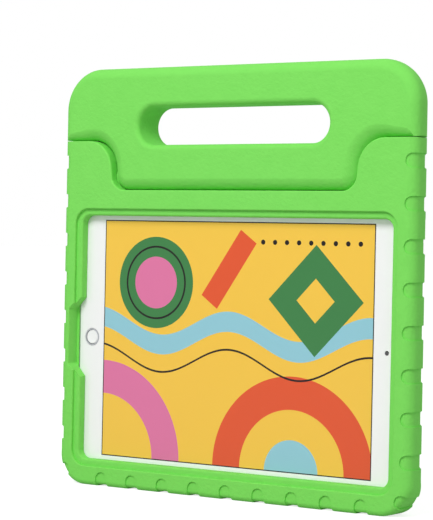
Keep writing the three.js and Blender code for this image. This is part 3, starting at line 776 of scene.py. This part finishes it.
    def parting_edges(self, outline: Array, full: float) -> Array:
        """Edge radius at each point of an outline: full on the cheeks, fading out over the wings.

        Args:
            outline: the outline's points.
            full: the radius on the cheeks.

        Returns:
            The radii.
        """
        tongue = [self.tongue_half - self.tongue_radius, self.tongue_half]
        wing = [self.wing + self.wing_radius / 2, self.wing + self.wing_radius * self.wing_fade_share]
        tip = [self.half_width - share * self.wing_tip_radius for share in (self.wing_tip_share, 1)]
        radius = full * np.interp(np.abs(outline[:, 0]), tongue + wing + tip, self.parting_edge_shares)
        far = (outline[:, 1] < self.parting - OVERSHOOT) | (outline[:, 1] > self.shoulder + OVERSHOOT)
        return np.where(far, self.slight_edge, np.maximum(radius, self.slight_edge))

    def above_parting(self) -> Solid:
        """Everything on the handle's side of the parting line, with the handle's rounded edges."""
        end, high = self.half_width + BEYOND, self.top + BEYOND
        outline = np.concatenate([self.parting_line(above=True), [[end, high], [-end, high]]])
        radius = self.parting_edges(outline, self.handle_parting_edge)
        front = Edge(self.front, radius, self.handle_parting_fullness, self.handle_parting_deep)
        back = Edge(self.back, self.parting_edges(outline, self.back_parting_edge))
        return Solid("above_parting", [eased_block(outline, front, back, reach=OVERSHOOT)])

    def below_parting(self) -> Solid:
        """Everything on the body's side of the parting line, less the gap, with rounded edges."""
        end = self.half_width + BEYOND
        outline = np.concatenate([self.parting_line(above=False)[::-1], [[-end, -BEYOND], [end, -BEYOND]]])
        front = Edge(self.front, self.parting_edges(outline, self.body_parting_edge))
        back = Edge(self.back, self.parting_edges(outline, self.back_parting_edge))
        block = eased_block(outline, front, back, grow=-self.parting_gap, reach=OVERSHOOT)
        return Solid("below_parting", [block])

    def rod(self, radius: float, low: float, high: float) -> Array:
        """Rings of a rod on the hinge line."""
        return turned_x([(radius, low), (radius, high)], self.hinge_y, self.hinge_z)

    def rest_slope(self, start: float, side: int) -> tuple[list[tuple[float, float]], float]:
        """Slope that the folded handle rests against, a tangent to the knuckle's room.

        Args:
            start: where it starts, from the hinge's depth.
            side: -1 for the body's, below the hinge, and 1 for the wings', above it.

        Returns:
            Its two ends as y and z, and the far one's depth.
        """
        tangent = math.tan(self.rest_slope_angle)
        offset = (self.knuckle_radius + self.knuckle_gap) / math.cos(self.rest_slope_angle)
        far = self.back + BEYOND - self.hinge_y
        ends = [(self.hinge_y + y, self.hinge_z + side * (offset + y * tangent)) for y in (start, far)]
        return ends, self.hinge_y + far

    def knuckle_room(self) -> tuple[Solid, Solid]:
        """Bore for the knuckle and the sloped room behind it."""
        radius = self.knuckle_radius + self.knuckle_gap
        start = (radius - radius / math.cos(self.rest_slope_angle)) / math.tan(self.rest_slope_angle)
        (near, beyond), far = self.rest_slope(start, -1)
        high = self.shoulder + BEYOND
        slope = prism_x([near, beyond, (far, high), (near[0], high)], -self.cheek, self.cheek)
        return Solid("knuckle_bore", [self.rod(radius, -self.cheek, self.cheek)]), Solid("rest_slope", [slope])

    def parting_height(self, x: Array) -> Array:
        """Height of the parting line at places across, with the wings taken as level."""
        cheek = [Corner(self.tongue_half, self.parting, self.tongue_radius)]
        cheek += [Corner(self.wing, self.shoulder, self.wing_radius)]
        end = Corner(self.half_width + BEYOND, self.shoulder)
        line = rounded_path([Corner(0, self.parting), *cheek, end], closed=False)
        return np.interp(x, line[:, 0], line[:, 1])

    def shoulder_reliefs(self) -> tuple[Solid, Solid]:
        """Cuts that round the shoulders' backs, so that the wings pass them.

        The shoulder's upper edge is turned about the hinge, as a radius for each place across.

        Returns:
            The right and the left cut.
        """
        end = self.half_width + BEYOND / 2
        x = self.cheek + (end - self.cheek) * np.linspace(0, 1, 3 * CORNER_STEPS) ** 2
        radius = self.parting_height(x) - self.parting_gap - self.hinge_z
        swept = turned_x(list(zip(radius, x)), self.hinge_y, self.hinge_z)
        low = (self.cheek, self.hinge_y, self.hinge_z)
        corner = box(low, (end - OVERSHOOT, self.back + BEYOND, self.shoulder + BEYOND))
        right = Solid("right_relief", [corner]).less(Solid("right_swept", [swept]))
        left = Solid("left_relief", [mirrored(corner)]).less(Solid("left_swept", [mirrored(swept)]))
        return right, left

    def bush_seats(self, face: float, depth: float, flange_depth: float) -> Solid:
        """Stepped holes for the hinge bushes on both sides.

        Args:
            face: x of the foam face that the right one opens in.
            depth: how far the sleeve's hole goes along X.
            flange_depth: the same for the flange's recess.

        Returns:
            Both seats.
        """
        past = face - math.copysign(OVERSHOOT, depth)
        profile = [
            (self.seat_radius, face + depth),
            (self.seat_radius, face + flange_depth),
            (self.flange_seat_radius, face + flange_depth),
            (self.flange_seat_radius, past),
        ]
        seat = turned_x(profile[::-1] if depth > 0 else profile, self.hinge_y, self.hinge_z)
        return Solid("bush_seats", [seat, mirrored(seat)])

    def pin_rooms(self) -> Solid:
        """Holes for both hinge pins."""
        low, high = self.pin_ends[0] - self.pin_room_end, self.pin_ends[1] + self.pin_room_end
        room = self.rod(self.pin_room_radius, low, high)
        return Solid("pin_rooms", [room, mirrored(room)])

    def notch(self, x: float, z: float, outward: Array, reach: float) -> Array:
        """One grip notch: a round inner end, straight sides and an open outer end.

        Args:
            x: where it meets the outline, across.
            z: the same, up.
            outward: the outline's normal there.
            reach: from there to its inner end.

        Returns:
            The rings.
        """
        radius = self.notch_width / 2
        middle = np.array([x, z]) + outward * (radius - reach)
        turn = math.atan2(outward[1], outward[0]) + np.linspace(math.pi / 2, 3 * math.pi / 2, CORNER_STEPS)
        arc = middle + radius * np.stack([np.cos(turn), np.sin(turn)], axis=1)
        span = outward * (reach + BEYOND)
        outline = np.concatenate([arc, [arc[-1] + span, arc[0] + span]])
        ends = np.array([self.front - OVERSHOOT, self.back + OVERSHOOT])[:, None]
        return carried(outline, ends, np.zeros((2, 1)))

    def grip_notches(self) -> Solid:
        """Notches down both sides, along the bottom and at both bottom corners, as a shallow skin."""
        prisms = []
        highest = self.shoulder - self.side_notch_drop
        lowest = self.bottom_radius + self.notch_width / 2
        for z in np.arange(highest, lowest, -self.side_notch_pitch):
            for side in (1.0, -1.0):
                prisms.append(self.notch(side * self.half_width, z, np.array([side, 0.0]), self.side_notch_reach))
        outermost = self.half_width - self.bottom_radius - self.notch_width / 2
        per_side = int(outermost // self.bottom_notch_pitch)
        for k in range(-per_side, per_side + 1):
            x = k * self.bottom_notch_pitch + self.bottom_notch_shift
            prisms.append(self.notch(x, 0, np.array([0.0, -1.0]), self.bottom_notch_reach))
        dip = math.radians(self.corner_notch_dip_degrees)
        for side in (1.0, -1.0):
            outward = np.array([side * math.cos(dip), -math.sin(dip)])
            at = np.array([side * (self.half_width - self.bottom_radius), self.bottom_radius])
            x, z = at + outward * self.bottom_radius
            prisms.append(self.notch(x, z, outward, self.corner_notch_reach))
        return Solid("grip_notches", prisms).less(self.slab("notch_floor", self.notch_depth))

    def around_tablet(self, offset: float, radius: float) -> Array:
        """Outline round the tablet's middle, with each side moved out from the tablet's edge."""
        low, high = self.tablet_low - offset, self.tablet_top + offset
        return rounded_rectangle(self.tablet_half_width + offset, low, high, radius, radius)

    def tablet_pocket(self) -> tuple[Solid, Solid, Solid]:
        """Pocket for the tablet, the window over its glass and the step round the window."""
        pocket = eased_block(
            self.around_tablet(0, self.tablet_corner),
            Edge(self.glass - self.clearance),
            Edge(self.tablet_back + self.clearance, self.tablet_back_edge),
            grow=self.clearance,
        )
        window = eased_block(
            self.around_tablet(-self.lip_overlap, self.window_radius),
            Edge(self.lip, self.lip_edge),
            Edge(self.glass + OVERSHOOT),
            reach=OVERSHOOT,
            flare=1,
        )
        outline = self.around_tablet(self.lip_width - self.lip_overlap, self.window_radius + self.lip_width)
        step = eased_cut(outline, Edge(self.front, self.rim_edge), self.lip)
        return Solid("pocket", [pocket]), Solid("window", [window]), Solid("step", [step])

    def thumb_cut(self) -> Solid:
        """Gap in the rim and lip beside the home button, with slanted ends and an eased edge."""
        outer = -self.half_width + self.thumb_rim_width
        inner = -self.tablet_half_width + self.lip_overlap + self.thumb_past_lip
        inner_half = self.thumb_half_height + inner - outer
        middle = self.tablet_middle
        outline = rounded_path(
            [
                Corner(outer, middle + self.thumb_half_height, self.thumb_corner),
                Corner(outer, middle - self.thumb_half_height, self.thumb_corner),
                Corner(inner, middle - inner_half),
                Corner(inner, middle + inner_half),
            ]
        )
        face = Edge(self.front, self.thumb_edge)
        return Solid("thumb_cut", [eased_cut(outline, face, self.glass, self.thumb_flare)])

    def charge_hole(self) -> Solid:
        """Round-ended hole through the left wall for the plug of a charging lead."""
        half = self.charge_hole_depth / 2
        straight = self.charge_hole_height / 2 - half
        turn = np.linspace(0, math.pi, CORNER_STEPS)
        end = np.stack([half * np.cos(turn), straight + half * np.sin(turn)], axis=1)
        middle = np.array([(self.glass + self.tablet_back) / 2, self.tablet_middle])
        low, high = -self.half_width - OVERSHOOT, -self.tablet_half_width - self.clearance + OVERSHOOT
        return Solid("charge_hole", [prism_x(middle + np.concatenate([end, -end]), low, high)])

    def camera_hole(self) -> Solid:
        """Hole in the back over the tablet's camera, wider towards the outside."""
        low, high = node_box("rear_camera_glass")
        wide = self.camera_hole_radius + self.camera_hole_flare
        profile = [
            (self.camera_hole_radius, self.tablet_back - OVERSHOOT),
            (self.camera_hole_radius, self.back - self.camera_hole_flare),
            (wide, self.back),
            (wide, self.back + OVERSHOOT),
        ]
        return Solid("camera_hole", [turned_y(profile, (low[0] + high[0]) / 2, (low[2] + high[2]) / 2)])

    def side_relief(self) -> Solid:
        """Shallow relief in the right side's back edge, level with the tablet's audio socket."""
        z = self.tablet_top - self.relief_inset
        cut = box(
            (self.half_width - self.front_edge, self.front + self.relief_start, z - self.relief_height / 2),
            (self.half_width + OVERSHOOT, self.back + OVERSHOOT, z + self.relief_height / 2),
        )
        return Solid("side_relief", [cut]).less(self.slab("relief_floor", self.relief_depth))

    def button_hollows(self) -> Solid:
        """Hollows in the pocket's walls over the tablet's side buttons."""
        margin = self.hollow_margin
        hollows = []
        for node in ("power_button", "volume_button_up", "volume_button_down"):
            low, high = node_box(node)
            low, high = low - margin, high + margin
            if node == "power_button":
                low[0], high[0] = self.tablet_half_width - margin, self.tablet_half_width + self.hollow_depth
            else:
                low[2], high[2] = self.tablet_low - self.hollow_depth, self.tablet_low + margin
            hollows.append(box(low, high))
        return Solid("button_hollows", hollows)

    def build_body(self) -> None:
        """Cuts the body from the slab and dresses it."""
        body = self.slab("foam_body").then(Joining.KEEP, self.below_parting())
        body.less(*self.knuckle_room(), *self.shoulder_reliefs(), *self.tablet_pocket())
        body.less(self.grip_notches(), self.thumb_cut(), self.charge_hole(), self.camera_hole())
        body.less(self.side_relief(), self.button_hollows())
        body.less(self.bush_seats(self.cheek, self.seat_depth, self.flange_seat_depth))
        body.less(self.pin_rooms())
        hand_over(FOAM.on(smoothed(body.build())), "case", "foam", "case_body")

    def build_handle(self) -> None:
        """Cuts the handle from the slab, adds the knuckle and dresses it."""
        low = (-self.half_width - OVERSHOOT, self.hinge_y, self.parting - BEYOND)
        high = (self.half_width + OVERSHOOT, self.back + BEYOND, self.hinge_z)
        knuckle = self.rod(self.knuckle_radius, -self.knuckle_half, self.knuckle_half)
        under = Solid("under_knuckle", [box(low, high)]).less(Solid("knuckle_form", [knuckle]))
        (near, beyond), far = self.rest_slope(-self.wing_slope_start, 1)
        floor = self.hinge_z - 2 * BEYOND
        slope = prism_x([(near[0], floor), (far, floor), beyond, near], self.knuckle_half, self.half_width + BEYOND)
        slot_edge = Edge(self.front, self.slot_edge), Edge(self.back, self.slot_back_edge)
        low_edge, radius = self.parting + self.slot_rise, self.slot_height / 2
        slot_half = self.half_width - self.slot_end_width
        outline = rounded_rectangle(slot_half, low_edge, low_edge + self.slot_height, radius, radius)
        slot = Solid("finger_slot", [eased_block(outline, *slot_edge, reach=OVERSHOOT, flare=1)])
        handle = self.slab("foam_handle").then(Joining.KEEP, self.above_parting())
        handle.less(under, Solid("wing_slopes", [slope, mirrored(slope)]))
        handle.then(Joining.ADD, Solid("knuckle", [knuckle]))
        handle.less(slot, self.bush_seats(self.knuckle_half, -self.seat_depth, -self.flange_seat_depth))
        handle.less(self.pin_rooms())
        hand_over(FOAM.on(smoothed(handle.build())), "handle", "foam", "handle")


@dataclass
class Tablet:
    """The tablet in the case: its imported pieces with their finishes, its picture and home button."""

    picture_width: float = 207.8
    picture_height: float = 155.9
    picture_border: float = 0.7
    picture_proud: float = 0.05
    button_dish: float = 0.35
    button_edge: float = 0.3
    button_gap: float = 0.3
    dish_start: float = 0.02

    def dress_nodes(self) -> None:
        """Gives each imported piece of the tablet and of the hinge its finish."""
        finishes = {
            ANODISED: ("tablet_housing", "power_button", "volume_button_up", "volume_button_down"),
            WHITE_GLASS: ("cover_glass",),
            PANEL: ("display_panel",),
            CELL_WRAP: ("battery_cell_left", "battery_cell_right"),
            LAMINATE: ("logic_board",),
            NYLON: (
                *("speaker_upper", "speaker_lower", "rear_camera", "audio_jack", "home_switch"),
                *("shoulder_bush_left", "shoulder_bush_right", "tongue_bush_left", "tongue_bush_right"),
            ),
            LENS_GLASS: ("front_camera", "rear_camera_glass"),
            STEEL: ("charge_port", "hinge_pin_left", "hinge_pin_right"),
        }
        for finish, nodes in finishes.items():
            for node in nodes:
                finish.on(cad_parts[node])
                log.info("%s is %s", node, finish.name)

    def motifs(self) -> tuple[Motif, ...]:
        """Figures of the picture, from the lowest layer up."""
        blue, red, green, pink, yellow, black = "96cedc", "e85a32", "40844a", "e47aa8", "fbcb4c", "1e1a1a"
        half_width, half_height = self.picture_width / 2, self.picture_height / 2
        dots = [Motif(Shape.DISC, black, x, 66, 1.6) for x in range(22, 98, 9)]
        return (
            Motif(Shape.DISC, red, 46, -half_height, 60),
            Motif(Shape.DISC, yellow, 46, -half_height, 39),
            Motif(Shape.DISC, blue, 46, -half_height, 20),
            Motif(Shape.RING, pink, -half_width, -half_height, 52, 22),
            Motif(Shape.WAVE, blue, -30, 6, 17, 13),
            Motif(Shape.DIAMOND, green, 62, 30, 35),
            Motif(Shape.DIAMOND, yellow, 62, 30, 14),
            Motif(Shape.DISC, green, -62, 38, 30),
            Motif(Shape.DISC, pink, -62, 38, 17),
            Motif(Shape.RING, black, -62, 38, 23.5, 1.3),
            Motif(Shape.STRIPE, red, -4, 48, 26, 15, 55),
            Motif(Shape.WAVE, black, -30, -12, 17, 1.3),
            *dots,
        )

    def build_picture(self) -> None:
        """Lays the lit picture on the glass as one thin sheet."""
        low, high = node_box("cover_glass")
        middle = (low[2] + high[2]) / 2
        half_width, half_height = self.picture_width / 2, self.picture_height / 2
        side, end = half_width + self.picture_border, half_height + self.picture_border
        sheet = box((-side, low[1] - self.picture_proud, middle - end), (side, low[1], middle + end))
        finish = PictureFinish(
            "display_under_glass",
            "fbcb4c",
            roughness=0.12,
            ior=1.3,
            middle_z=middle,
            half_width=half_width,
            half_height=half_height,
            motifs=self.motifs(),
        )
        hand_over(finish.on(Solid("display_picture", [sheet]).build()), "case", "display")

    def build_home_button(self) -> None:
        """Turns the dished home button with its stem, and the ring round it, in place of the nodes."""
        low, high = node_box("home_button")
        ring_low, ring_high = node_box("home_button_ring")
        x, z = (low[0] + high[0]) / 2, (low[2] + high[2]) / 2
        radius, ring_radius = (high[0] - low[0]) / 2, (ring_high[0] - ring_low[0]) / 2
        turn = np.linspace(self.dish_start, 1, EDGE_STEPS)
        face = radius - self.button_edge
        dish = [(face * t, low[1] + self.button_dish * (1 - t * t)) for t in turn]
        cap_back = (low[1] + high[1]) / 2 + self.button_edge
        rim = [(radius, low[1] + self.button_edge), (radius, cap_back), (radius / 2, cap_back), (radius / 2, high[1])]
        button = Solid("home_button_dished", [turned_y(dish + rim, x, z)])
        hand_over(WHITE_GLASS.on(smoothed(button.build())), "home_button", "white_glass", "home_button")
        bore = radius + self.button_gap
        disc = turned_y([(ring_radius, ring_low[1]), (ring_radius, ring_high[1])], x, z)
        hole = turned_y([(bore, ring_low[1] - OVERSHOOT), (bore, ring_high[1] + OVERSHOOT)], x, z)
        ring = Solid("home_button_bezel", [disc]).less(Solid("bezel_bore", [hole]))
        hand_over(STEEL.on(smoothed(ring.build())), "case", "steel", "home_button_ring")


def seen(tree: Tree) -> Socket:
    """Gives 1 to rays that show a surface to the camera, directly, in metal or through glass, and 0 to light."""
    path = add(tree, "ShaderNodeLightPath").outputs
    direct = add(tree, "ShaderNodeMath", {0: path["Is Camera Ray"], 1: path["Is Glossy Ray"]}, operation="MAXIMUM")
    either = {0: direct.outputs[0], 1: path["Is Transmission Ray"]}
    return add(tree, "ShaderNodeMath", either, operation="MAXIMUM").outputs[0]


@dataclass(frozen=True)
class Softbox:
    """A square area lamp aimed at the middle of the case, with its place and side in metres and power in watts."""

    name: str
    place: tuple[float, float, float]
    size: float
    power: float
    aim: tuple[float, float, float] = (0.0, 0.0, 0.14)

    def hang(self) -> None:
        """Adds the lamp to the scene."""
        data = bpy.data.lights.new(self.name, "AREA")
        data.size, data.energy = self.size, self.power
        lamp = linked(self.name, data)
        lamp.location = self.place
        lamp.rotation_euler = (Vector(self.aim) - lamp.location).to_track_quat("-Z", "Y").to_euler()


@dataclass
class Studio:
    """White room with a soft lamp in front and one on the right, and the camera of the photograph.

    The camera's turn, rise, roll and focal length were fitted to the display's corners in an
    image of 433 x 520 pixels.
    """

    azimuth: float = 35.0
    elevation: float = 0.6
    roll: float = 1.17
    focal_px: float = 2053.0
    image_height_px: float = 520.0
    sensor_mm: float = 36.0
    camera_mm: tuple[float, float, float] = (743.85, -1085.82, 166.28)
    room_light: float = 0.45
    floor_colour: str = "c0c0c0"
    floor_glow: float = 0.75
    floor_size_m: float = 40.0
    front_softbox: Softbox = Softbox("front_softbox", (0.05, -1.15, 1.16), 0.7, 15.0)
    side_softbox: Softbox = Softbox("side_softbox", (1.35, -0.1, 0.7), 0.8, 2.0)

    def place_camera(self) -> None:
        """Puts the camera where the photograph was taken from."""
        turn, rise, roll = (math.radians(angle) for angle in (self.azimuth, self.elevation, self.roll))
        right = Vector((math.cos(turn), math.sin(turn), 0))
        back = Vector((math.sin(turn) * math.cos(rise), -math.cos(turn) * math.cos(rise), math.sin(rise)))
        up = back.cross(right)
        rolled_right = right * math.cos(roll) + up * math.sin(roll)
        rolled_up = up * math.cos(roll) - right * math.sin(roll)
        data = bpy.data.cameras.new("photo_camera")
        data.sensor_width = self.sensor_mm
        data.lens = self.focal_px / self.image_height_px * self.sensor_mm
        camera = linked("photo_camera", data)
        place = Matrix((rolled_right, rolled_up, back)).transposed().to_4x4()
        place.translation = Vector(self.camera_mm) * MM
        camera.matrix_world = place
        bpy.context.scene.camera = camera

    def light(self) -> None:
        """Lights the room evenly and adds the softboxes."""
        world = bpy.data.worlds.new("white_room")
        bpy.context.scene.world = world
        world.use_nodes = True
        tree = world.node_tree
        tree.nodes.clear()
        strength = add(tree, "ShaderNodeMapRange", {"Value": seen(tree), "To Min": self.room_light, "To Max": 1.0})
        sky = add(tree, "ShaderNodeBackground", {"Color": (1, 1, 1, 1), "Strength": strength.outputs[0]})
        add(tree, "ShaderNodeOutputWorld", {"Surface": sky.outputs[0]})
        self.front_softbox.hang()
        self.side_softbox.hang()

    def lay_floor(self) -> None:
        """Lays a white floor that shows white to the camera and still keeps the case's shadow."""
        half = self.floor_size_m / 2
        mesh = bpy.data.meshes.new("floor")
        corners = np.array([[-half, -half, 0], [half, -half, 0], [half, half, 0], [-half, half, 0]])
        mesh.from_pydata(corners, [], [[0, 1, 2, 3]])
        floor = linked("floor", mesh)
        paper = bpy.data.materials.new("white_paper")
        paper.use_nodes = True
        tree = paper.node_tree
        shader = tree.nodes["Principled BSDF"]
        shader.inputs["Base Color"].default_value = linear(self.floor_colour)
        shader.inputs["Roughness"].default_value = 0.9
        shader.inputs["Emission Color"].default_value = (1, 1, 1, 1)
        glow = add(tree, "ShaderNodeMath", {0: seen(tree), 1: self.floor_glow}, operation="MULTIPLY")
        tree.links.new(glow.outputs[0], shader.inputs["Emission Strength"])
        mesh.materials.append(paper)

    def build(self) -> None:
        """Sets up the camera, the light and the floor."""
        self.place_camera()
        self.light()
        self.lay_floor()
        bpy.context.scene.view_settings.view_transform = "Standard"


def main() -> None:
    """Builds the studio, the foam case and the tablet, in that order."""
    logging.basicConfig(level=logging.INFO, format="%(message)s")
    Studio().build()
    case = FoamCase()
    case.build_body()
    case.build_handle()
    tablet = Tablet()
    tablet.dress_nodes()
    tablet.build_picture()
    tablet.build_home_button()


if __name__ == "__main__":
    main()
